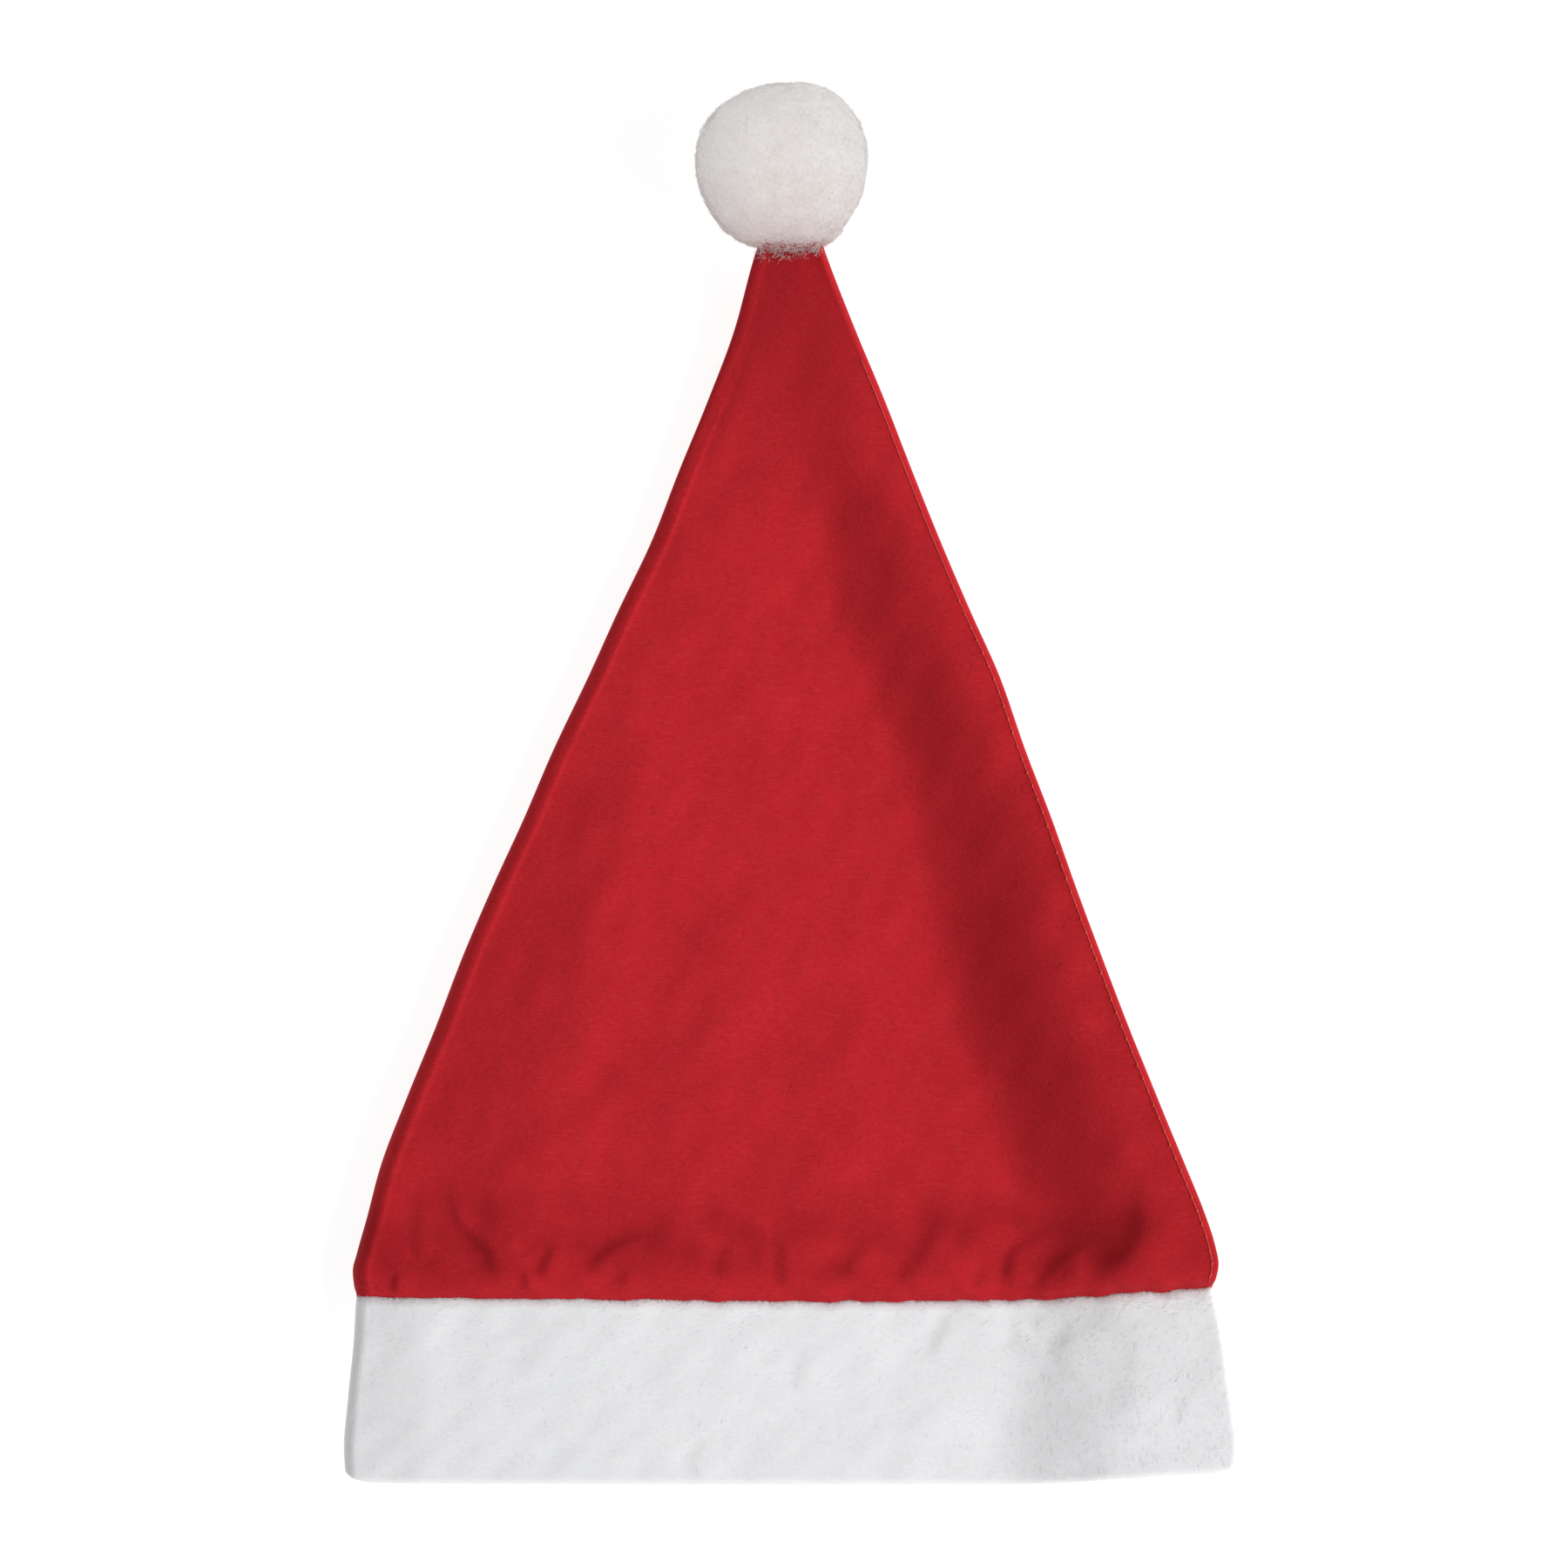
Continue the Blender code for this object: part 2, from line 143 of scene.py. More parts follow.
def rowAt(along):
    # the table's own values, where it has a row
    return dict(zip(sectionColumns, next(row for row in sectionRows if row[0] == along)))


rippleShape = {"waves": 14, "sizes": (0.7, 1.6)}  # how many, and shares of the size asked for


def ripples(x, along, size, height, seed):
    # gentle unevenness with no pattern to it, about `size` across
    draw = np.random.default_rng(seed)
    total = np.zeros_like(x)
    for _ in range(rippleShape["waves"]):
        angle, phase = draw.uniform(0, math.pi), draw.uniform(0, 2 * math.pi)
        turns = 2 * math.pi / (size * draw.uniform(*rippleShape["sizes"]))
        total += np.sin(turns * (x * math.cos(angle) + along * math.sin(angle)) + phase)
    return total * height / math.sqrt(rippleShape["waves"] / 2)


creaseShape = {
    "reach": 3.0,  # how many widths a crease reaches, where it doesn't state its reach
    "feltFor": 3.0,  # it is left out beyond this many reaches
    "fadeIn": 0.3,  # shares of its length over which it rises and dies away
    "fadeOut": 0.4,
    "stepsPerPoint": 12,
}


def creaseRelief(x, along, creases, grooved=False):
    # a crease has a width, a height, a reach and a line of points; it is low at the line's left and
    # raised at its right, and both die away over its reach; a groove is only pressed in
    relief = np.zeros_like(x)
    for width, height, reach, points in creases:
        points = np.array(points, dtype=float)
        reach = reach or creaseShape["reach"] * width
        shares = np.linspace(0, 1, len(points))
        fine = np.linspace(0, 1, creaseShape["stepsPerPoint"] * (len(points) - 1) + 1)
        route = np.stack([smoothCurve(shares, points[:, i], fine) for i in (0, 1)], axis=1)
        low = route.min(axis=0) - creaseShape["feltFor"] * reach
        high = route.max(axis=0) + creaseShape["feltFor"] * reach
        near = (x > low[0]) & (x < high[0]) & (along > low[1]) & (along < high[1])
        px, py = x[near], along[near]
        nearest = np.full(px.shape, np.inf)
        signed, share = np.zeros_like(px), np.zeros_like(px)
        for i, (a, b) in enumerate(zip(route, route[1:])):
            run = b - a
            length = max(np.hypot(*run), 1e-6)
            t = np.clip(((px - a[0]) * run[0] + (py - a[1]) * run[1]) / length**2, 0, 1)
            dx, dy = px - (a[0] + t * run[0]), py - (a[1] + t * run[1])
            distance = np.hypot(dx, dy)
            side = np.sign((px - a[0]) * run[1] - (py - a[1]) * run[0])
            closer = distance < nearest
            nearest = np.where(closer, distance, nearest)
            signed = np.where(closer, distance * side, signed)
            share = np.where(closer, (i + t) / (len(route) - 1), share)
        fade = smoothStep(share / creaseShape["fadeIn"]) * smoothStep((1 - share) / creaseShape["fadeOut"])
        if grooved:
            profile = -np.exp(-(signed / width) ** 2 / 2)
        else:
            profile = np.tanh(signed / width) * np.exp(-(signed / reach) ** 2 / 2)
        relief[near] += height * fade * profile
    return relief


def alongShift(along, left, right, x):
    # how far the felt is shifted away from the rim: the risen end, the seam's line and the rim's corners
    rise, riseFrom, riseOver = hat["endRise"]
    fadesFrom, fadesTo = hat["endRiseFades"]
    rising = 1.0 - smoothStep((along - fadesFrom) / (fadesTo - fadesFrom))
    sag, sagAt, sagWide, sagReach = hat["seamSag"]
    nearSeam = np.exp(-((along - hat["seamAlong"]) / sagReach) ** 2)
    setBack, radius, fades = hat["cornerRound"]
    fromSide = np.clip(np.minimum(x - left, right - x), 0, radius)
    rounded = 1.0 - np.sqrt(1.0 - (1.0 - fromSide / radius) ** 2)
    size, height, reach, seed = hat["seamWobble"]
    wobble = ripples(x, 0 * x, size, height, seed) * np.exp(-((along - hat["seamAlong"]) / reach) ** 2)
    return (rise * smoothStep((x - riseFrom) / riseOver) * rising + wobble
            - sag * np.exp(-((x - sagAt) / sagWide) ** 2) * nearSeam
            + setBack * rounded * np.clip(1.0 - along / fades, 0, None))


# how many points each stretch of a ring has, from the left side over the top and back below
ringSteps = {"crease": 8, "top": 252, "ridge": 8, "underRight": 12, "underside": 18, "underLeft": 5}
topCrowding = 0.45  # how much closer together the top's points are at its two sides
topPlaces = ("shoulder", "crest", "trough", "bank")


def hatRings(along, inset, relief):
    # points round the hat for each (along, inset) pair, with the relief added as far as each point belongs
    # to the top
    section = {name: column[:, None] for name, column in sectionAt(along).items()}
    along, inset = np.asarray(along, dtype=float)[:, None], np.asarray(inset, dtype=float)[:, None]
    left, right = section["left"] + inset, section["right"] - inset
    side = section["side"]
    under = section["under"] + inset
    crease, ridge = section["crease"] - inset, section["ridge"] - inset
    width = right - left
    creaseWidth = np.minimum(hat["creaseWidth"], hat["mostRoll"] * width)
    seamWidth = np.minimum(hat["seamFromSide"], hat["mostRoll"] * width)
    seamDrop = np.minimum(hat["seamDrop"], hat["mostDrop"] * (ridge - under))
    seamSide = ridge - seamDrop
    underRoll = np.minimum(hat["underRoll"], hat["mostRoll"] * width)
    underCurl = np.minimum(hat["underCurl"], hat["mostCurl"] * width)
    creaseAt, ridgeAt = left + creaseWidth, right - seamWidth

    def turns(name):
        return (math.pi / 2 * np.arange(ringSteps[name]) / ringSteps[name])[None, :]

    def shares(name):
        return np.arange(ringSteps[name])[None, :] / ringSteps[name]

    # each stretch: across, height, and how much it belongs to the top
    turn = turns("crease")
    stretches = [(left + creaseWidth * (1 - np.cos(turn)),
                  side + (crease - side) * np.sin(turn), np.sin(turn) ** 2)]
    share = shares("top")
    share = share - topCrowding * np.sin(2 * math.pi * share) / (2 * math.pi)
    x = creaseAt + (ridgeAt - creaseAt) * share
    knots = np.concatenate([creaseAt] + [section[name + "At"] for name in topPlaces] + [ridgeAt], axis=1)
    heights = np.concatenate([crease] + [section[name] - inset for name in topPlaces] + [ridge], axis=1)
    stretches.append((x, acrossCurve(knots, heights, x), np.ones_like(share)))
    turn = turns("ridge")
    square = hat["seamSquareness"]
    stretches.append((ridgeAt + seamWidth * np.sin(turn) ** square,
                      seamSide + seamDrop * np.cos(turn) ** square, np.cos(turn) ** 2))
    share = shares("underRight")
    stretches.append((right - underCurl * share, under + (seamSide - under) * (1 - share) ** 2, 0 * share))
    share = shares("underside")
    flat = width - underCurl - underRoll
    stretches.append((right - underCurl - flat * share, under + 0 * share, 0 * share))
    turn = turns("underLeft")
    stretches.append((left + underRoll * (1 - np.sin(turn)),
                      side - (side - under) * np.cos(turn), 0 * turn))

    rows = len(along)
    x, z, onTop = (
        np.concatenate([np.broadcast_to(part[i], (rows, part[i].shape[1])) for part in stretches], axis=1)
        for i in range(3))
    reach = along + alongShift(along, left, right, x)
    fromSeam = np.clip(np.abs(along - hat["seamAlong"]) / hat["turnedIn"], 0, 1)
    turnedIn = hat["turnedIn"] * (1 - np.sqrt(1 - (1 - fromSeam) ** 2))
    z = z + (relief(x, reach) - turnedIn) * onTop
    return np.stack([x, reach - hat["length"] / 2, z], axis=2) * mm


def newMesh(name, points, faces):
    mesh = bpy.data.meshes.new(name)
    mesh.from_pydata(points.tolist(), [], faces)
    mesh.update()
    return mesh


def gridMesh(name, rings, closeLast=None):
    # a skin over rings of points, each ring joined to the next; closeLast adds a point that ends it
    count, around = rings.shape[:2]
    points = rings.reshape(-1, 3)
    ring = np.arange(count - 1)[:, None] * around
    step = np.arange(around)[None, :]
    after = (step + 1) % around
    quads = np.stack([ring + step, ring + around + step, ring + around + after, ring + after], axis=2)
    faces = quads.reshape(-1, 4).tolist()
    if closeLast is not None:
        end = len(points)
        points = np.vstack([points, closeLast])
        last = (count - 1) * around
        faces += [(last + i, end, last + (i + 1) % around) for i in range(around)]
    return newMesh(name, points, faces)


def rework(mesh, change):
    # passes the mesh to `change`, and turns all of its faces outwards
    shell = bmesh.new()
    shell.from_mesh(mesh)
    shell.verts.ensure_lookup_table()
    change(shell)
    bmesh.ops.recalc_face_normals(shell, faces=shell.faces)
    shell.to_mesh(mesh)
    shell.free()


def addCap(shell, first, count):
    shell.faces.new([shell.verts[first + i] for i in range(count)])


def scatter(mesh, count, seed, keep):
    # random points on the faces of a mesh that `keep` picks by middle and normal, with their normals
    mesh.calc_loop_triangles()
    triangles = len(mesh.loop_triangles)
    corners = np.empty(triangles * 3, dtype=np.int32)
    mesh.loop_triangles.foreach_get("vertices", corners)
    points = np.empty(len(mesh.vertices) * 3)
    mesh.vertices.foreach_get("co", points)
    a, b, c = np.moveaxis(points.reshape(-1, 3)[corners.reshape(-1, 3)], 1, 0)
    normals = np.cross(b - a, c - a)
    areas = np.linalg.norm(normals, axis=1)
    normals /= np.maximum(areas, 1e-15)[:, None]
    weights = areas * keep((a + b + c) / 3 / mm, normals)
    draw = np.random.default_rng(seed)
    chosen = draw.choice(triangles, size=count, p=weights / weights.sum())
    u, v = draw.uniform(size=(2, count, 1))
    u, v = np.where(u + v > 1, 1 - u, u), np.where(u + v > 1, 1 - v, v)
    return a[chosen] + (b - a)[chosen] * u + (c - a)[chosen] * v, normals[chosen]


strandSides = 3
strandSegments = 3
strandTaper = 0.5  # how much thinner a strand gets before its point


def strandMesh(name, roots, ways, outward, lengths, thickness, bend, lift):
    # thin three-sided strands that taper from their root to a point
    sides, segments = strandSides, strandSegments
    side = unit(np.cross(outward, ways))
    corner = (2 * math.pi / sides * np.arange(sides))[None, :, None]
    spokes = np.cos(corner) * side[:, None, :] + np.sin(corner) * outward[:, None, :]
    lengths, bend, lift = lengths[:, None], bend[:, None], lift[:, None]

    def middle(share):
        rise = lift * share * (2 - share)
        return roots + lengths * (ways * share + side * bend * share**2 + outward * rise)

    rings = [middle(k / segments)[:, None, :] + thickness / 2 * (1 - strandTaper * k / segments) * spokes
             for k in range(segments)]
    points = np.concatenate(rings + [middle(1.0)[:, None, :]], axis=1)
    each = points.shape[1]
    first = np.arange(len(roots))[:, None] * each
    quads = [(start + i, start + (i + 1) % sides, start + sides + (i + 1) % sides, start + sides + i)
             for start in range(0, sides * (segments - 1), sides) for i in range(sides)]
    last = sides * (segments - 1)
    tips = [(last + i, last + (i + 1) % sides, each - 1) for i in range(sides)]
    root = [tuple(reversed(range(sides)))]
    faces = []
    for pattern in quads + tips + root:
        faces += (first + np.array(pattern)[None, :]).tolist()
    return newMesh(name, points.reshape(-1, 3), faces)


def layStrands(name, base, look, material, keep, heading=None):
    # strands scattered over a piece, nearly flat on it, in every direction or round one heading
    draw = np.random.default_rng(look["seed"])
    count = look["count"]
    roots, outward = scatter(base.data, count, look["seed"], keep)
    turn = draw.uniform(0, 2 * math.pi, count)
    if heading is not None:
        flip = draw.integers(0, 2, count) * math.pi * look.get("bothWays", 1)
        turn = math.radians(heading) + flip + draw.normal(0, math.radians(look["spread"]), count)
    ways = np.stack([np.cos(turn), np.sin(turn), np.zeros(count)], axis=1)
    if look.get("anyWay"):
        ways = draw.normal(size=(count, 3))
    ways = unit(ways - outward * (ways * outward).sum(axis=1)[:, None])
    low, high = look["lengths"]
    lengths = draw.uniform(low, high, count) * mm
    mesh = strandMesh(name, roots - outward * look["sunk"] * mm, ways, outward, lengths,
                      look["thickness"] * mm, draw.normal(0, look["bend"], count),
                      draw.uniform(*look["lift"], count))
    return newPiece(name, mesh, material)


def addObject(name, data):
    item = bpy.data.objects.new(name, data)
    bpy.context.scene.collection.objects.link(item)
    return item


def dress(piece, material):
    piece.data.shade_smooth()
    piece.data.materials.append(material)
    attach(piece, body)
    return piece


def newPiece(name, mesh, material):
    return dress(addObject(name, mesh), material)


# How the felt's noises are made and mixed
feltMix = {
    "speckle": (3.0, 0.6),  # the detail and roughness of each noise
    "mottle": (3.0, 0.55),
    "fibres": (1.0, 0.4),
    "blotches": (4.0, 0.7),
    "lint": (3.0, 0.6),
    "fromTo": (0.3, 0.7),  # where a noise goes from its low tone to its high one
    "speckleTone": 0.6,  # their shares of the colour's tone
    "mottleTone": 0.4,
    "paintedShadeRange": (0.75, 1.25),  # how the mottle varies the painted shade
    "blotchRange": (0.4, 1.6),  # and the blotches the neck's red haze
    "lintFromTo": (0.74, 0.84),
    "lintNearNeck": 0.25,
    "layerSeed": 0.37,  # sets the layers of fibres apart
    "layerSkew": 0.7,
    "speckleBump": 0.7,
    "fibreBump": 0.3,
    "throughRadius": (1.0, 0.95, 0.92),
    "sheenRoughness": 0.6,
}


def newMaterial(name):
    material = bpy.data.materials.new(name)
    material.use_nodes = True
    return material, material.node_tree, material.node_tree.nodes["Principled BSDF"]


def setInputs(tree, node, values):
    # each value is a constant, or another node's output that is linked in
    for key, value in values.items():
        socket = node.inputs[key]
        if isinstance(value, bpy.types.NodeSocket):
            tree.links.new(value, socket)
        elif socket.type == "RGBA":
            socket.default_value = (*value, 1.0)
        else:
            socket.default_value = value


def addNode(tree, kind, values, **settings):
    node = tree.nodes.new(kind)
    for key, value in settings.items():
        setattr(node, key, value)
    setInputs(tree, node, values)
    return node


def noiseLayer(tree, vector, scale, kind):
    detail, roughness = feltMix[kind]
    values = {"Vector": vector, "Scale": scale, "Detail": detail, "Roughness": roughness}
    return addNode(tree, "ShaderNodeTexNoise", values).outputs["Fac"]


def mapped(tree, value, low, high, toLow=0.0, toHigh=1.0):
    values = {"Value": value, "From Min": low, "From Max": high, "To Min": toLow, "To Max": toHigh}
    return addNode(tree, "ShaderNodeMapRange", values).outputs["Result"]


def mathNode(tree, operation, first, second):
    return addNode(tree, "ShaderNodeMath", {0: first, 1: second}, operation=operation).outputs[0]


def vectorNode(tree, operation, first, key, second):
    return addNode(tree, "ShaderNodeVectorMath", {0: first, key: second}, operation=operation).outputs[0]


def mixColour(tree, factor, first, second):
    return addNode(tree, "ShaderNodeMix", {0: factor, 6: first, 7: second}, data_type="RGBA").outputs[2]


def strandLayer(tree, place, look, turn, seed):
    # pale lines, long one way and thin the other, bent by a wide wobble, like fibres lying in the felt
    wobble = addNode(tree, "ShaderNodeTexNoise",
                     {"Vector": place, "Scale": look["wobbleScale"], "Detail": 1.0}).outputs["Color"]
    centred = vectorNode(tree, "SUBTRACT", wobble, 1, (0.5, 0.5, 0.5))
    scaled = vectorNode(tree, "SCALE", centred, "Scale", look["wobble"] * mm)
    mapping = addNode(tree, "ShaderNodeMapping", {
        "Vector": vectorNode(tree, "ADD", place, 1, scaled),
        "Location": (seed, seed * feltMix["layerSkew"], 0.0),
        "Rotation": (0.0, 0.0, turn),
        "Scale": (1 / look["strandLength"], 1 / look["strandWidth"], 1 / look["strandWidth"])})
    grain = noiseLayer(tree, mapping.outputs[0], 1 / mm, "fibres")
    return mapped(tree, grain, look["strandFrom"], look["strandTo"])


def neckTint(tree, place, colour, look):
    # red lint from the crown, which fades out away from the neck
    split = addNode(tree, "ShaderNodeSeparateXYZ", {0: place})
    near, far, edge = ((hat["length"] / 2 + value) * mm for value in look["neckFrom"])
    blotches = noiseLayer(tree, place, look["neckBlotches"], "blotches")
    haze = mathNode(tree, "MULTIPLY", mapped(tree, split.outputs["Y"], far, near), look["neckShare"])
    blotches = mapped(tree, blotches, *feltMix["fromTo"], *feltMix["blotchRange"])
    haze = mathNode(tree, "MULTIPLY", haze, blotches)
    colour = mixColour(tree, haze, colour, look["neckTint"])
    lint = noiseLayer(tree, place, look["neckLint"], "lint")
    more = mapped(tree, split.outputs["Y"], edge, near, 0.0, feltMix["lintNearNeck"])
    lint = mathNode(tree, "ADD", lint, more)
    return mixColour(tree, mapped(tree, lint, *feltMix["lintFromTo"]), colour, look["neckRed"])


def feltMaterial(name, look):
    material, tree, shader = newMaterial(name)
    place = addNode(tree, "ShaderNodeTexCoord", {}).outputs["Object"]
    speckle = noiseLayer(tree, place, look["speckleScale"], "speckle")
    mottle = noiseLayer(tree, place, look["mottleScale"], "mottle")
    strands = None
    for seed, turn in enumerate(look["strandTurns"]):
        layer = strandLayer(tree, place, look, turn, feltMix["layerSeed"] * (seed + 1))
        strands = layer if strands is None else mathNode(tree, "MAXIMUM", strands, layer)

    fromTo = feltMix["fromTo"]
    tone = mathNode(tree, "ADD", mapped(tree, speckle, *fromTo, 0.0, feltMix["speckleTone"]),
                    mapped(tree, mottle, *fromTo, 0.0, feltMix["mottleTone"]))
    colour = mixColour(tree, tone, look["dark"], look["light"])
    pale = mathNode(tree, "MULTIPLY", strands, look["strandShare"])
    colour = mixColour(tree, pale, colour, look["strand"])
    # painted shade: the colour is mixed towards a dark red by the amount stored on the mesh, in patches from
    # the mottle
    if "paintedShadeColour" in look:
        painted_shade = addNode(tree, "ShaderNodeAttribute", {}, attribute_type="GEOMETRY", attribute_name="painted_shade")
        patches = mapped(tree, mottle, *fromTo, *feltMix["paintedShadeRange"])
        share = mathNode(tree, "MULTIPLY", painted_shade.outputs["Fac"], patches)
        colour = mixColour(tree, share, colour, look["paintedShadeColour"])
    if "neckTint" in look:
        colour = neckTint(tree, place, colour, look)

    height = mathNode(tree, "ADD", mathNode(tree, "MULTIPLY", speckle, feltMix["speckleBump"]),
                      mathNode(tree, "MULTIPLY", strands, feltMix["fibreBump"]))
    bump = addNode(tree, "ShaderNodeBump", {
        "Height": height, "Strength": look["bump"], "Distance": look["bumpDepth"] * mm})
    setInputs(tree, shader, {
        "Base Color": colour, "Roughness": look["roughness"], "Specular IOR Level": look["specular"],
        "Subsurface Weight": look.get("throughShare", 0.0),
        "Subsurface Radius": feltMix["throughRadius"], "Subsurface Scale": look.get("through", 1.0) * mm,
        "Sheen Weight": look["sheen"], "Sheen Roughness": feltMix["sheenRoughness"],
        "Sheen Tint": look["strand"], "Normal": bump.outputs[0]})
    return material


feltLook = {
    "speckleScale": 620.0, "mottleScale": 60.0, "roughness": 0.95, "specular": 0.12, "sheen": 0.03,
    "bump": 0.5, "bumpDepth": 0.35, "strandWidth": 0.35, "strandTo": 0.78,
    "wobble": 3.0, "wobbleScale": 90.0}
# the red felt's darkest colour is painted shade, mixed in above the band and towards the tip
redFelt = feltMaterial("red_felt", {
    **feltLook, "dark": (0.425, 0.0110, 0.0170), "light": (0.520, 0.0165, 0.0250),
    "strand": (0.64, 0.058, 0.060), "paintedShadeColour": (0.22, 0.0050, 0.0080), "strandShare": 0.24,
    "strandTurns": (0.08, -0.35, 0.55, 1.5), "strandLength": 6.0, "strandFrom": 0.60})
seamLook = {
    **feltLook, "dark": (0.48, 0.026, 0.030), "light": (0.60, 0.055, 0.052), "strand": (0.72, 0.13, 0.10),
    "strandShare": 0.5, "speckleScale": 900.0, "mottleScale": 120.0, "bump": 0.4, "bumpDepth": 0.2,
    "strandTurns": (1.1, 1.3), "strandLength": 3.0, "strandWidth": 0.3, "strandFrom": 0.55, "strandTo": 0.75,
    "wobble": 2.0, "wobbleScale": 120.0}
seamRed = feltMaterial("seam_red", seamLook)
whiteLook = {
    **feltLook, "dark": (0.818, 0.818, 0.840), "light": (0.888, 0.888, 0.901), "strand": (0.93, 0.93, 0.94),
    "strandShare": 0.4, "specular": 0.15, "throughShare": 0.6, "through": 3.0, "sheen": 0.05, "bump": 0.45,
    "strandTurns": (0.08, -0.5, 0.7, 1.5), "strandLength": 5.0, "strandFrom": 0.58}
whiteFelt = feltMaterial("white_felt", whiteLook)
pompomLook = {
    **feltLook, "dark": (0.785, 0.755, 0.737), "light": (0.862, 0.833, 0.816), "strand": (0.90, 0.88, 0.87),
    "strandShare": 0.3, "speckleScale": 800.0, "mottleScale": 130.0, "roughness": 1.0, "specular": 0.05,
    "throughShare": 1.0, "through": 25.0, "sheen": 0.3,
    "neckTint": (0.60, 0.16, 0.16), "neckRed": (0.42, 0.015, 0.02),
    "neckFrom": (-53.0, -28.0, -48.0),  # where the haze is full and gone, and where the lint starts
    "neckShare": 0.11, "neckBlotches": 160.0, "neckLint": 900.0, "strandTurns": (0.3, -0.8, 1.2, 2.3),
    "strandLength": 2.0, "strandWidth": 0.3, "strandFrom": 0.56, "wobbleScale": 120.0}
whiteFibre = feltMaterial("white_fibre", pompomLook)
fibreStrand = feltMaterial("white_fibre_strand", {
    **pompomLook, "dark": (0.830, 0.797, 0.780), "light": (0.900, 0.872, 0.857), "throughShare": 0.0,
    "neckShare": 0.12})
feltStrand = feltMaterial("white_felt_strand", {
    **whiteLook, "dark": (0.840, 0.840, 0.860), "light": (0.900, 0.900, 0.915), "specular": 0.1,
    "throughShare": 0.0, "bump": 0.2, "bumpDepth": 0.1, "strandTurns": (0.08,)})
seamThread = feltMaterial("seam_thread", {
    **seamLook, "dark": (0.70, 0.090, 0.045), "light": (0.80, 0.140, 0.070), "strand": (0.85, 0.25, 0.14),
    "strandShare": 0.3, "roughness": 0.8, "specular": 0.2, "sheen": 0.0, "bump": 0.2, "bumpDepth": 0.1,
    "strandTurns": (1.2,)})
print("materials made")

# The crown: one sheet of felt, folded at the left and sewn at the right
crown = {
    "wall": 2.0,
    "stations": 270,
    "crowding": 1.35,  # the stations stand closer together near the band
    "innerStations": 24,
    "tipRound": 2.0,  # the tip's end bulges by this much
    "tipShoulder": (0.45, 0.75),  # the last ring's shares of the way inwards and outwards to it
    "flat": (0.60, 0.36),  # the sheet it is cut from, in metres, and the area that is used
    "area": 0.125,
    "creaseLine": (0.35, 1.1, 3.0),  # the fold at the left stands up: height, width, where it is full
    "reliefAtSeam": (3.0, 0.2),  # the relief grows from the seam: over what, from which share
    "reliefAtTip": (330.0, 50.0, 0.8),  # and dies away: from where, over what, by how much
    "paintedShadeAboveBand": (79.0, 14.0, 0.31),  # painted shade in a band above the seam, among the gathers: where, how far, how much
    "paintedShadeEdge": 2.5,  # higher is a sharper end to it
    "paintedShadeUneven": ((13.0, 0.2, 17), (30.0, 0.25, 19)),  # size, share, seed
    "paintedShadeRange": (0.2, 1.8),
    "paintedShadeAtTip": (345.0, 35.0, 0.12),  # and painted shade towards the gathered tip, under the pompom: from where, over what, how much
    "unevenness": ((38.0, 0.30, 3), (16.0, 0.10, 5)),  # size, height, seed
    "grooves": [
        (1.3, 0.5, None, [(-90, 77.5), (-86, 76.6), (-82, 77.5)]),
        (1.3, 0.4, None, [(-125, 76.5), (-122, 73.5), (-118, 72), (-112.4, 74)]),
    ],
    "creases": [
        # gathers at the right, from the trough's foot to the middle
        (3.2, 1.5, 7, [(96, 65), (101, 71), (107, 76), (111, 84), (111.5, 92), (108, 102)]),
        (2.0, 1.1, None, [(78.5, 60.5), (82, 67), (86.5, 72.5), (92, 76.5), (99, 81)]),
        (1.9, 1.1, None, [(70.5, 62), (70, 68), (72, 75), (77.5, 79), (86, 82)]),
        (1.6, 0.4, None, [(84, 64), (88.5, 68), (94, 72)]),
        (1.6, 0.5, None, [(60, 62), (61.5, 67), (64.5, 72)]),
        (1.2, 0.35, None, [(52.8, 61), (53.8, 65), (54.4, 69)]),
        (3.6, 1.4, 8, [(34, 62), (37.5, 68.5), (43, 76), (49, 84), (57, 93)]),
        (4.0, 0.8, 8, [(43, 62), (49, 71), (56, 80), (66, 90)]),
        (2.6, 0.8, 7, [(17, 65), (19, 71), (24, 77), (32, 84)]),
        # and at the left
        (1.1, 0.6, None, [(-128.8, 60.5), (-128.2, 65), (-127.4, 69)]),
        (2.4, 0.6, None, [(-118, 70), (-121.5, 77), (-121, 85), (-121.5, 99)]),
        (1.9, 1.1, 6, [(-95, 62), (-96, 69.5), (-97.7, 74), (-101, 78),
                       (-105.4, 81.6), (-108.2, 85), (-110.2, 92), (-112.5, 100)]),
        (4.5, 1.0, 9, [(-88, 72), (-93, 79), (-97, 86), (-99, 94)]),
        (1.0, 0.5, None, [(-86.2, 62), (-86, 66), (-85.8, 70.5)]),
        (1.5, 0.8, None, [(-82, 66), (-79, 72.5), (-76, 79)]),
        (2.2, 1.2, 6, [(-65, 65), (-63, 71.5), (-58, 76.5), (-51, 79.5), (-44, 82)]),
        (1.8, 0.5, None, [(-56, 63), (-54, 67.5), (-47, 71.5)]),
        (4.5, 0.7, 9, [(-52, 72), (-44, 79), (-36, 86)]),
        (2.2, 0.8, 6, [(-24, 66), (-22.5, 71), (-20.5, 76), (-14.5, 84)]),
        (2.4, 0.5, 6, [(-13, 70), (-10, 76), (-6, 83)]),
        (1.3, 0.6, None, [(-2.8, 61.5), (-3, 68), (-3.4, 76), (-4.5, 84)]),
    ],
}


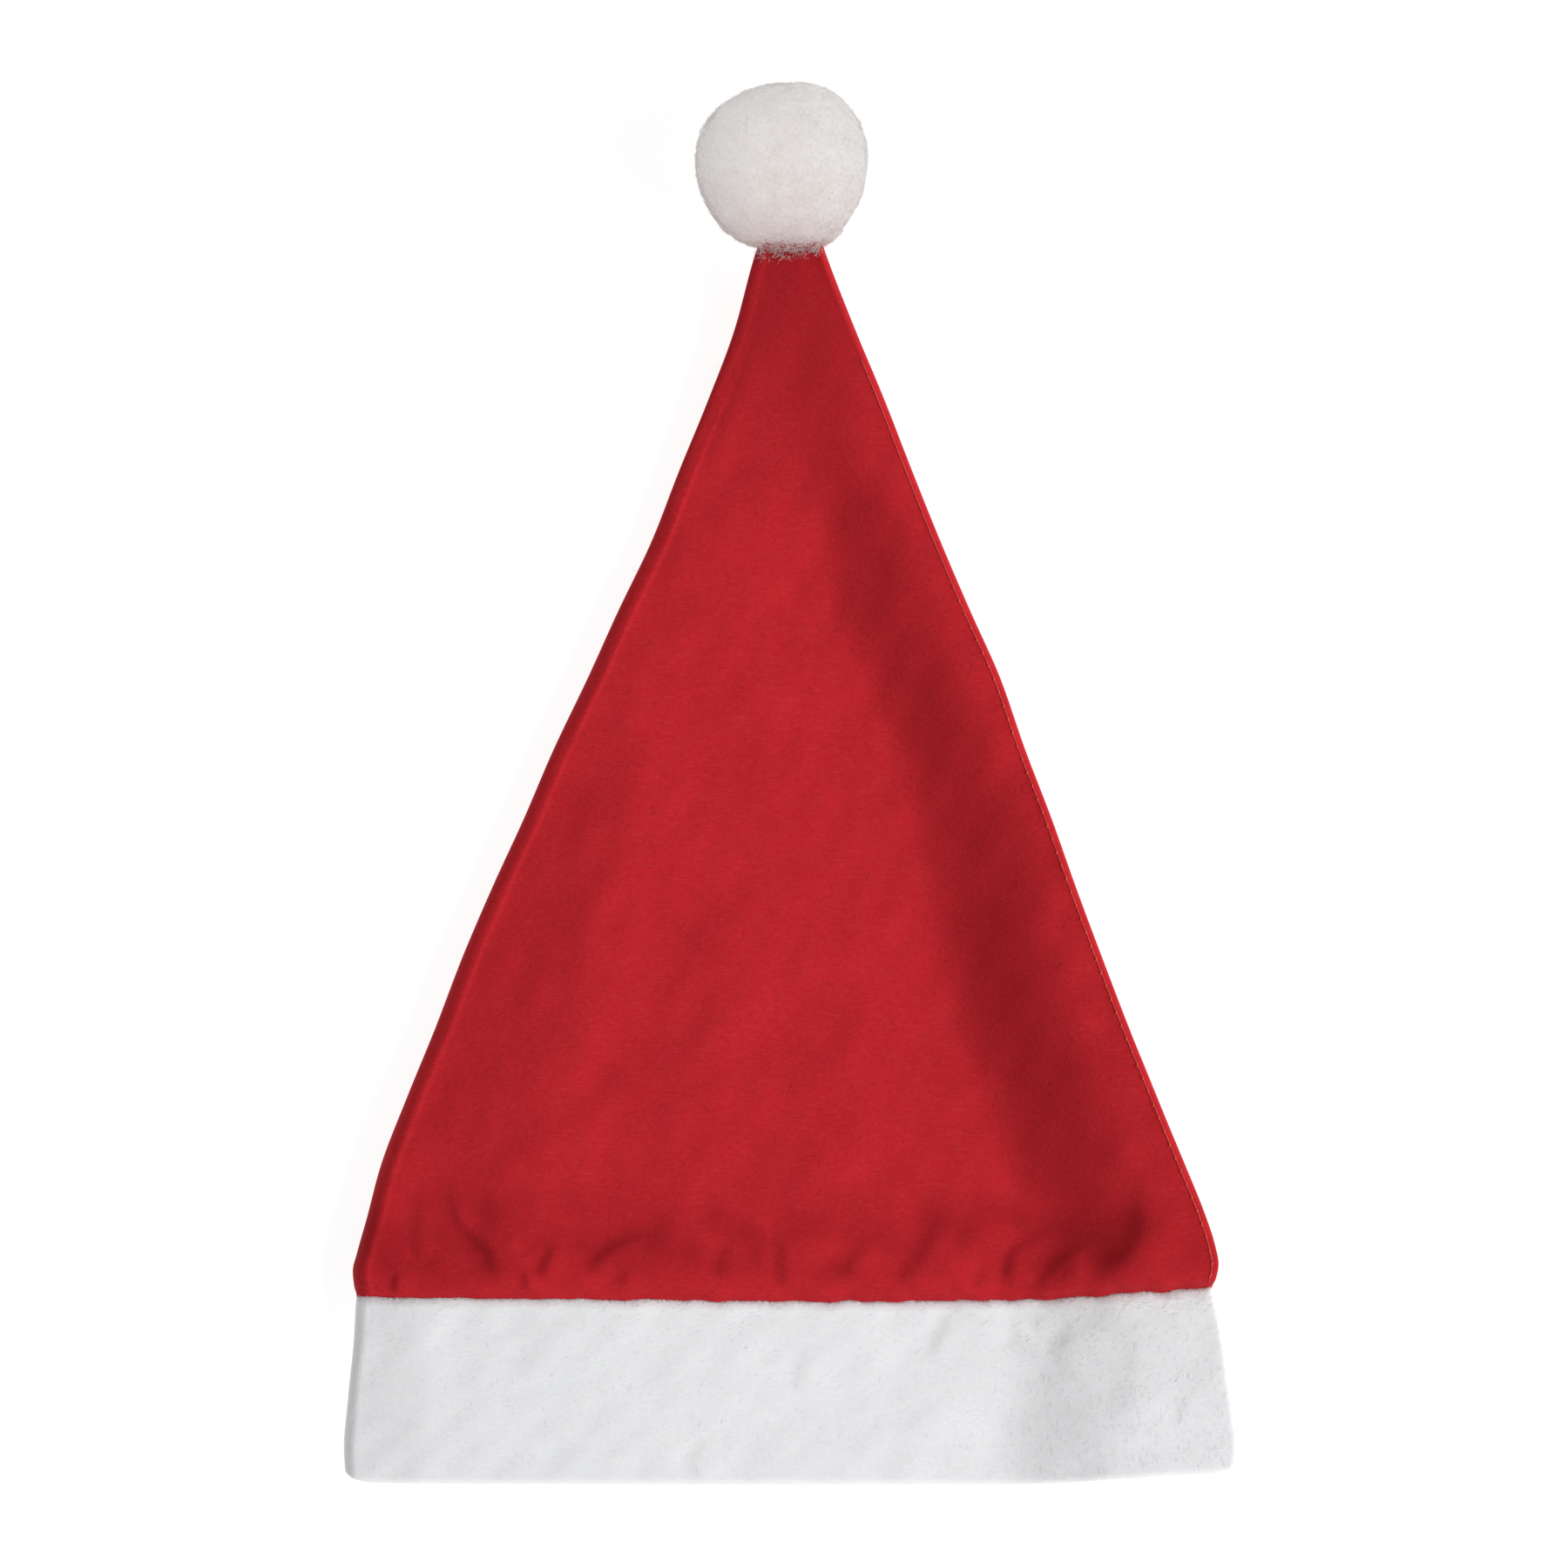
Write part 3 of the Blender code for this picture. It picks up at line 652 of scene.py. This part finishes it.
def crownRelief(x, along):
    relief = creaseRelief(x, along, crown["creases"])
    relief += creaseRelief(x, along, crown["grooves"], grooved=True)
    left = sectionAt(along[:, along.shape[1] // 2])["left"][:, None]
    lineHeight, lineWidth, fullAt = crown["creaseLine"]
    fromCrease = (x - left - hat["creaseWidth"]) / lineWidth
    relief += lineHeight * np.exp(-fromCrease**2) * smoothStep((x - left) / fullAt)
    for size, height, seed in crown["unevenness"]:
        relief += ripples(x, along, size, height, seed)
    growsOver, growsFrom = crown["reliefAtSeam"]
    fadesFrom, fadesOver, fadesBy = crown["reliefAtTip"]
    return (relief * smoothStep((along - hat["seamAlong"]) / growsOver + growsFrom)
            * (1 - fadesBy * smoothStep((along - fadesFrom) / fadesOver)))


def paintedShadeAmount(x, along):
    # how much painted shade each point gets, which darkens it
    at, reach, much = crown["paintedShadeAboveBand"]
    uneven = 1.0
    for size, share, seed in crown["paintedShadeUneven"]:
        uneven = uneven + share * ripples(x, along, size, 1.0, seed)
    spread = np.exp(-(np.abs(along - at) / reach) ** crown["paintedShadeEdge"])
    aboveBand = much * spread * np.clip(uneven, *crown["paintedShadeRange"])
    # painted shade under the pompom, growing towards the tip
    start, over, most = crown["paintedShadeAtTip"]
    return np.clip(aboveBand + most * smoothStep((along - start) / over), 0, 1)


def sharesOf(count):
    return np.arange(count) / (count - 1)


def makeCrown():
    start, end = hat["seamAlong"] + hat["sewnGap"] / 2, hat["tipAlong"]
    innerEnd = end - crown["wall"]
    outer = start + (end - start) * sharesOf(crown["stations"]) ** crown["crowding"]
    inner = innerEnd - (innerEnd - start) * sharesOf(crown["innerStations"])
    outerRings = hatRings(outer, np.zeros_like(outer), crownRelief)
    innerRings = hatRings(inner, np.full_like(inner, crown["wall"]), crownRelief)
    tip = outerRings[-1].mean(axis=0) + np.array([0, crown["tipRound"] * mm, 0])
    inwards, outwards = crown["tipShoulder"]
    nearTip = outerRings[-1] + (tip - outerRings[-1]) * inwards
    nearTip[:, 1] = outerRings[-1][:, 1] + crown["tipRound"] * mm * outwards
    # from the inner tip down to the edge, over it, and up the outside to the tip
    rings = np.concatenate([innerRings, outerRings, nearTip[None]], axis=0)
    mesh = gridMesh("crown_felt", rings, closeLast=tip)
    placed = np.vstack([rings.reshape(-1, 3), tip]) / mm
    # painted shade, stored on the mesh for the red felt to darken by
    painted_shade = mesh.attributes.new("painted_shade", "FLOAT", "POINT")
    painted_shade.data.foreach_set("value", paintedShadeAmount(placed[:, 0], placed[:, 1] + hat["length"] / 2))

    def closeInnerTip(shell):
        addCap(shell, 0, rings.shape[1])
        bmesh.ops.triangulate(shell, faces=[face for face in shell.faces if len(face.verts) > 4])

    rework(mesh, closeInnerTip)
    piece = newPiece("crown_felt", mesh, redFelt)
    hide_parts("crown")
    seamLine = outerRings[:, ringSteps["crease"] + ringSteps["top"]]
    return piece, seamLine


strandsFaceUp = 0.25  # strands lie only where the felt faces up by more than this


def facingUp(middle, normals):
    return np.clip(normals[:, 2] - strandsFaceUp, 0, None)


def evenPlaces(points, spacing, start, end):
    # places at an even spacing on a line of points, with the line's heading at each
    steps = np.linalg.norm(np.diff(points, axis=0), axis=1)
    run = np.concatenate([[0], np.cumsum(steps)])
    at = np.arange(start * mm, min(end * mm, run[-1]), spacing * mm)
    places = np.stack([np.interp(at, run, points[:, i]) for i in range(3)], axis=1)
    return places, unit(np.gradient(places, axis=0))


upward = np.array([0.0, 0.0, 1.0])
seam = {
    "start": 5.0, "end": 330.0,  # from where to where it shows, measured from the band
    "every": 1.2,
    "radius": 0.28,
    "uneven": (0.75, 1.15),
    "endShare": 0.3,  # how thick its two ends are
    "seed": 41,
    "stitchEvery": 4.6, "stitchLength": 1.5, "stitchRadius": 0.15,
    "stitchLean": 0.55,  # radians away from the seam's own line
    "stitchesFrom": 9.0, "stitchesTo": 250.0,
    "stitchUneven": (0.7, 1.2),
    "stitchBow": 1.6,  # in radii of the seam, as is the next one
    "stitchLift": 0.8,
    "stitchForm": (0.4, 1, 1, 1, 0.4),
    "stitchSides": 6,
}


def tubeMesh(name, places, headings, radii, sides=8):
    # a round line through the places, closed at both ends
    side = unit(np.cross(headings, upward))
    over = np.cross(side, headings)
    corner = (2 * math.pi * np.arange(sides) / sides)[None, :, None]
    spokes = np.cos(corner) * side[:, None, :] + np.sin(corner) * over[:, None, :]
    mesh = gridMesh(name, places[:, None, :] + radii[:, None, None] * spokes)

    def closeEnds(shell):
        addCap(shell, 0, sides)
        addCap(shell, (len(places) - 1) * sides, sides)

    rework(mesh, closeEnds)
    return mesh


def makeSeam(line):
    # the edge of the seam stands up as a thin paler line, and thread shows across it at even steps
    places, headings = evenPlaces(line, seam["every"], seam["start"], seam["end"])
    draw = np.random.default_rng(seam["seed"])
    radii = seam["radius"] * mm * draw.uniform(*seam["uneven"], len(places))
    radii[[0, -1]] *= seam["endShare"]
    newPiece("seam_edge", tubeMesh("seam_edge", places, headings, radii), seamRed)

    spots, ways = evenPlaces(line, seam["stitchEvery"], seam["stitchesFrom"], seam["stitchesTo"])
    form = np.array(seam["stitchForm"])
    share = np.linspace(-0.5, 0.5, len(form))
    across = unit(np.cross(ways, upward))
    stitches = bmesh.new()
    for i, spot in enumerate(spots):
        lean = ways[i] * math.cos(seam["stitchLean"]) + across[i] * math.sin(seam["stitchLean"])
        size = draw.uniform(*seam["stitchUneven"])
        bow = (share[0] ** 2 - share**2) * seam["stitchBow"] * seam["radius"] * mm
        thread = spot + np.outer(share, lean) * seam["stitchLength"] * size * mm
        thread[:, 2] += bow + seam["stitchLift"] * seam["radius"] * mm
        thick = seam["stitchRadius"] * mm * form
        leans = np.repeat(lean[None], len(form), axis=0)
        one = tubeMesh("stitch", thread, leans, thick, seam["stitchSides"])
        stitches.from_mesh(one)
        bpy.data.meshes.remove(one)
    mesh = bpy.data.meshes.new("seam_stitches")
    stitches.to_mesh(mesh)
    stitches.free()
    newPiece("seam_stitches", mesh, seamThread)


crownPiece, seamLine = makeCrown()
makeSeam(seamLine)
crownStrands = {"count": 3600, "seed": 31, "lengths": (1.2, 6.0), "thickness": 0.10, "bend": 0.3,
                "lift": (0.0, 0.10), "sunk": 0.04, "spread": 32}
layStrands("crown_strands", crownPiece, crownStrands, seamRed, facingUp, heading=0)
print("crown made:", len(crownPiece.data.polygons), "faces")

# The band: one strip folded double at the rim
band = {
    "layer": 1.35,  # the thickness of each layer, and the slit between the two
    "between": 0.3,
    "stations": 80,
    "foldSteps": 9,
    "innerFoldEvery": 3,  # the slit's end takes every third of them
    "innerStations": 16,
    "weld": 1e-7,
    "flat": (0.60, 0.12),
    "unevenness": ((45.0, 0.17, 11), (14.0, 0.06, 13)),  # size, height, seed
    "reliefAtSeam": (4.0, 0.3),  # the relief dies away at the seam: over what, to which share
    "napElsewhere": 0.25,  # the nap stands out most at the dented right: from where, over what
    "napAtRight": (55.0, 40.0),
    "napAtSeam": (3.0, 2.5),  # and on the seam: how far, how much
    "rawEdge": 1.0,  # how far from the seam its own fibres are rooted
    "creases": [
        (1.5, 0.30, None, [(-34, 4.5), (-30.5, 10), (-26.5, 17)]),
        (1.4, 0.22, None, [(2, 29), (3.5, 37), (6, 46)]),
        (1.3, 0.30, None, [(46, 39), (47, 45), (50, 51), (51.3, 58)]),
        (1.5, 0.20, None, [(35.5, 15), (40, 21.5), (46, 25), (52, 30.5)]),
        (1.8, 0.22, None, [(125.6, 18), (126.2, 25), (127.5, 30)]),
        (2.0, 0.28, None, [(74.5, 44), (73, 50), (75, 57)]),
        (1.9, 0.22, None, [(81, 45), (80, 51), (81.5, 57)]),
        (3.0, 0.55, None, [(83, 41), (88, 47), (92, 55)]),
        (3.6, 0.45, None, [(107, 17), (108.5, 30), (110, 45), (108, 56)]),
    ],
}


def bandRelief(x, along):
    relief = creaseRelief(x, along, band["creases"])
    for size, height, seed in band["unevenness"]:
        relief += ripples(x, along, size, height, seed)
    fadesOver, fadesTo = band["reliefAtSeam"]
    return relief * smoothStep((hat["seamAlong"] - along) / fadesOver + fadesTo)


def makeBand():
    layer, between = band["layer"], band["between"]
    end = hat["seamAlong"] - hat["sewnGap"] / 2
    thick = 2 * layer + between
    outside = [(along, 0.0) for along in np.linspace(end, thick / 2, band["stations"])]
    turns = np.linspace(0, math.pi, band["foldSteps"] + 2)[1:-1]
    fold = [(thick / 2 * (1 - math.sin(turn)), thick / 2 * (1 - math.cos(turn))) for turn in turns]
    inside = [(along, thick) for along in np.linspace(thick / 2, end, band["innerStations"])]
    backDown = [(along, layer + between) for along in np.linspace(end, thick / 2, band["innerStations"])]
    innerFold = [(thick / 2 - between / 2 * math.sin(turn), thick / 2 + between / 2 * math.cos(turn))
                 for turn in turns[2::band["innerFoldEvery"]]]
    backUp = [(along, layer) for along in np.linspace(thick / 2, end, band["innerStations"])]
    profile = np.array(outside + fold + inside + backDown + innerFold + backUp)
    rings = hatRings(profile[:, 0], profile[:, 1], bandRelief)
    rings = np.concatenate([rings, rings[:1]], axis=0)
    mesh = gridMesh("band_felt", rings)
    rework(mesh, lambda shell: bmesh.ops.remove_doubles(shell, verts=shell.verts, dist=band["weld"]))
    piece = newPiece("band_felt", mesh, whiteFelt)
    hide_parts("band")
    return piece


def towardsDent(middle, normals):
    # the nap stands out most in the dented right part of the band, and on its seam
    start, over = band["napAtRight"]
    reach, much = band["napAtSeam"]
    rightPart = band["napElsewhere"] + smoothStep((middle[:, 0] - start) / over)
    seamPart = np.exp(-((alongOf(middle) - hat["seamAlong"]) / reach) ** 2)
    return facingUp(middle, normals) * (rightPart + much * seamPart)


def besideSeam(middle, normals):
    # the band's raw edge, where its fibres lie over the crown's
    row = rowAt(hat["seamAlong"])
    shift = alongShift(row["along"], row["left"], row["right"], middle[:, 0])
    fromSeam = hat["seamAlong"] - (alongOf(middle) - shift)
    return facingUp(middle, normals) * np.exp(-(fromSeam / band["rawEdge"]) ** 2)


bandPiece = makeBand()
bandStrands = {"count": 7500, "seed": 33, "lengths": (0.8, 2.6), "thickness": 0.11, "bend": 0.4,
               "lift": (0.02, 0.30), "sunk": 0.04}
layStrands("band_strands", bandPiece, bandStrands, feltStrand, towardsDent)
seamStrands = {"count": 4200, "seed": 39, "lengths": (0.6, 2.1), "thickness": 0.14, "bend": 0.5,
               "lift": (0.0, 0.35), "sunk": 0.04, "spread": 50, "bothWays": 0}
layStrands("seam_strands", bandPiece, seamStrands, feltStrand, besideSeam, heading=90)
print("band made:", len(bandPiece.data.polygons), "faces")

# The pompom: a ball of short fine fibre
pompom = {
    "along": 425.8,  # its middle, along and across
    "across": -2.5,
    "middle": 26.0,  # and above the surface
    "tall": 26.5,  # its radius upwards
    "lowest": 0.2,  # it is flattened below this height
    "subdivisions": 7,
    # radii of the outline from above, in mm, every 30 degrees round from the right
    "outline": (27.1, 28.7, 28.8, 26.8, 26.9, 28.4, 27.7, 26.8, 27.1, 26.4, 28.2, 26.6),
    "fullness": 2.7,  # 2 is a ball; more is fuller at its shoulders
    "lumps": ((12.0, 0.15), (3.2, 0.08), (1.6, 0.06)),  # size, height
    "lumpWaves": 26,
    "lumpSizes": (0.7, 1.5),
    "lumpTurn": 6.28,
    "lumpLevel": 3.6,  # brings the sum of the waves back to their height
    "lumpSeed": 21,
    "strandsFrom": -0.3,  # strands lie where it faces up by more than this
}
neck = {
    "onBall": (400.5, 2.5),  # strands and lint on the ball's front: where along, how far
    "across": (0.6, 9.5, 6),  # their middle, half their width, and how sharply they end
    "heights": (26.5, 38.0),
    "onCrown": (399.8, 1.9),  # and on the crown: where along, how far
}
pompomStrands = {"count": 11500, "seed": 35, "lengths": (0.9, 2.6), "thickness": 0.13, "bend": 0.5,
                 "lift": (0.05, 0.30), "sunk": 0.05, "anyWay": True}
neckFringe = {**seamStrands, "count": 520, "seed": 43, "lengths": (0.6, 2.6), "sunk": 0.03, "spread": 55}
neckLint = {"count": 460, "seed": 47, "lengths": (0.5, 1.8), "thickness": 0.12, "bend": 0.6,
            "lift": (0.0, 0.45), "sunk": 0.03, "spread": 80}
neckStrands = {**seamStrands, "count": 620, "seed": 37, "lengths": (0.8, 4.2), "thickness": 0.13,
               "lift": (-0.1, 0.35), "sunk": 0.1, "spread": 45}


def makePompom():
    # a ball that follows the outline seen from above, fuller at its shoulders and gently lumpy
    bpy.ops.object.select_all(action="DESELECT")
    bpy.ops.mesh.primitive_ico_sphere_add(subdivisions=pompom["subdivisions"], radius=1.0)
    ball = bpy.context.object
    mesh = ball.data
    points = np.empty(len(mesh.vertices) * 3)
    mesh.vertices.foreach_get("co", points)
    points = unit(points.reshape(-1, 3))
    outline = np.array(pompom["outline"])
    turns = (np.arctan2(points[:, 1], points[:, 0]) / (2 * math.pi) * len(outline)) % len(outline)
    whole = turns.astype(int)
    t = turns - whole
    before, start, end, after = (outline[(whole + i) % len(outline)] for i in (-1, 0, 1, 2))
    radius = start + 0.5 * t * (end - before + t * (2 * before - 5 * start + 4 * end - after
                                                    + t * (3 * (start - end) + after - before)))
    level = outline.mean()
    fullness = pompom["fullness"]
    flatness = np.hypot(points[:, 0], points[:, 1])
    fuller = (flatness**fullness + np.abs(points[:, 2]) ** fullness) ** (-1 / fullness)
    radius = level + (radius - level) * flatness**2
    radii = np.stack([radius, radius, np.full_like(radius, pompom["tall"])], axis=1)
    placed = points * radii * fuller[:, None]
    draw = np.random.default_rng(pompom["lumpSeed"])
    for size, height in pompom["lumps"]:
        total = np.zeros(len(placed))
        for _ in range(pompom["lumpWaves"]):
            way = draw.normal(size=3)
            way /= np.linalg.norm(way)
            wave = 2 * math.pi / (size * draw.uniform(*pompom["lumpSizes"]))
            total += np.sin(wave * placed @ way + draw.uniform(0, pompom["lumpTurn"]))
        placed += points * (total * height / pompom["lumpLevel"])[:, None]
    placed += np.array([pompom["across"], pompom["along"] - hat["length"] / 2, pompom["middle"]])
    placed[:, 2] = np.maximum(placed[:, 2], pompom["lowest"])
    mesh.vertices.foreach_set("co", (placed * mm).ravel())
    mesh.update()
    ball.name = mesh.name = "pompom_fibre"
    dress(ball, whiteFibre)
    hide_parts("pompom")
    return ball


def allOver(middle, normals):
    return 1.0 * (normals[:, 2] > pompom["strandsFrom"])


def overTheNeck(middle, normals):
    # the low front of the ball, where its fibres lie over the crown
    at, reach = neck["onBall"]
    across, halfWidth, sharpness = neck["across"]
    low, high = neck["heights"]
    near = np.exp(-((alongOf(middle) - at) / reach) ** 2)
    near = near * np.exp(-((middle[:, 0] - across) / halfWidth) ** sharpness)
    return near * (middle[:, 2] > low) * (middle[:, 2] < high)


def crownByTheNeck(middle, normals):
    # the crown's last few millimetres before the ball, where fibres and lint lie on the red
    at, reach = neck["onCrown"]
    return facingUp(middle, normals) * np.exp(-((alongOf(middle) - at) / reach) ** 2)


pompomPiece = makePompom()
pompomPieces = [
    pompomPiece,
    layStrands("pompom_strands", pompomPiece, pompomStrands, fibreStrand, allOver),
    layStrands("neck_strands", pompomPiece, neckStrands, fibreStrand, overTheNeck, -90),
    layStrands("neck_fringe", crownPiece, neckFringe, fibreStrand, crownByTheNeck, -90),
    layStrands("neck_lint", pompomPiece, neckLint, seamRed, overTheNeck, -90),
]
print("pompom made")

# Floor, light and camera
studio = {
    "floor": 6.0,  # its width, in metres
    "floorBelow": 0.0004,  # it lies this far below the hat
    "floorTone": 0.2,
    "floorGlow": 0.90,  # keeps the floor's shadows pale
    "keyShare": 0.58,  # of the light on a level surface
    "keyHeight": 38.0,  # degrees above the floor
    "keyFrom": -12.0,  # degrees round from the right, towards the rim
    "keySoftness": 38.0,  # the angle that the light takes up, in degrees
    "pompomKeyHeight": 77.0,  # the pompom has a key of its own, from higher up, which shades it less
    "cameraHeight": 2.5,
    "sensor": 36.0,
    "clipEnd": 20.0,
    "frameWidth": 0.5098,
    "frameMiddle": (-0.0020, 0.0002),
    "measuredAt": 0.012,  # the height at which the frame has that width
}


def addKey(name, height, pompomState):
    # a broad key light from the right, with the pompom's pieces left out of it or lit alone
    high, bearing = math.radians(height), math.radians(studio["keyFrom"])
    key = bpy.data.lights.new(name, "SUN")
    key.energy = studio["keyShare"] * math.pi / math.sin(high)
    key.angle = math.radians(studio["keySoftness"])
    lamp = addObject(name, key)
    level = math.cos(high)
    toLight = Vector((level * math.cos(bearing), level * math.sin(bearing), math.sin(high)))
    lamp.rotation_euler = toLight.to_track_quat("Z", "Y").to_euler()
    lit = bpy.data.collections.new(name + "_lights")
    for piece in pompomPieces:
        lit.objects.link(piece)
    for entry in lit.collection_objects:
        entry.light_linking.link_state = pompomState
    lamp.light_linking.receiver_collection = lit


def makeStudio():
    bpy.ops.object.select_all(action="DESELECT")
    bpy.ops.mesh.primitive_plane_add(size=studio["floor"], location=(0, 0, -studio["floorBelow"]))
    floor = bpy.context.object
    floor.name = "floor"
    material, tree, shader = newMaterial("pale_floor")
    setInputs(tree, shader, {
        "Base Color": (studio["floorTone"],) * 3, "Roughness": 1.0, "Specular IOR Level": 0.0,
        "Emission Color": (1.0, 1.0, 1.0), "Emission Strength": studio["floorGlow"]})
    floor.data.materials.append(material)

    world = bpy.data.worlds.new("studio")
    bpy.context.scene.world = world
    world.use_nodes = True
    setInputs(world.node_tree, world.node_tree.nodes["Background"],
              {"Color": (1.0, 1.0, 1.0), "Strength": 1.0 - studio["keyShare"]})

    addKey("key", studio["keyHeight"], "EXCLUDE")
    addKey("pompom_key", studio["pompomKeyHeight"], "INCLUDE")

    lens = bpy.data.cameras.new("camera")
    lens.sensor_width = studio["sensor"]
    distance = studio["cameraHeight"] - studio["measuredAt"]
    lens.lens = lens.sensor_width * distance / studio["frameWidth"]
    lens.clip_end = studio["clipEnd"]
    camera = addObject("camera", lens)
    camera.location = (*studio["frameMiddle"], studio["cameraHeight"])
    bpy.context.scene.camera = camera
    bpy.context.scene.view_settings.view_transform = "Standard"


makeStudio()
print("studio made")
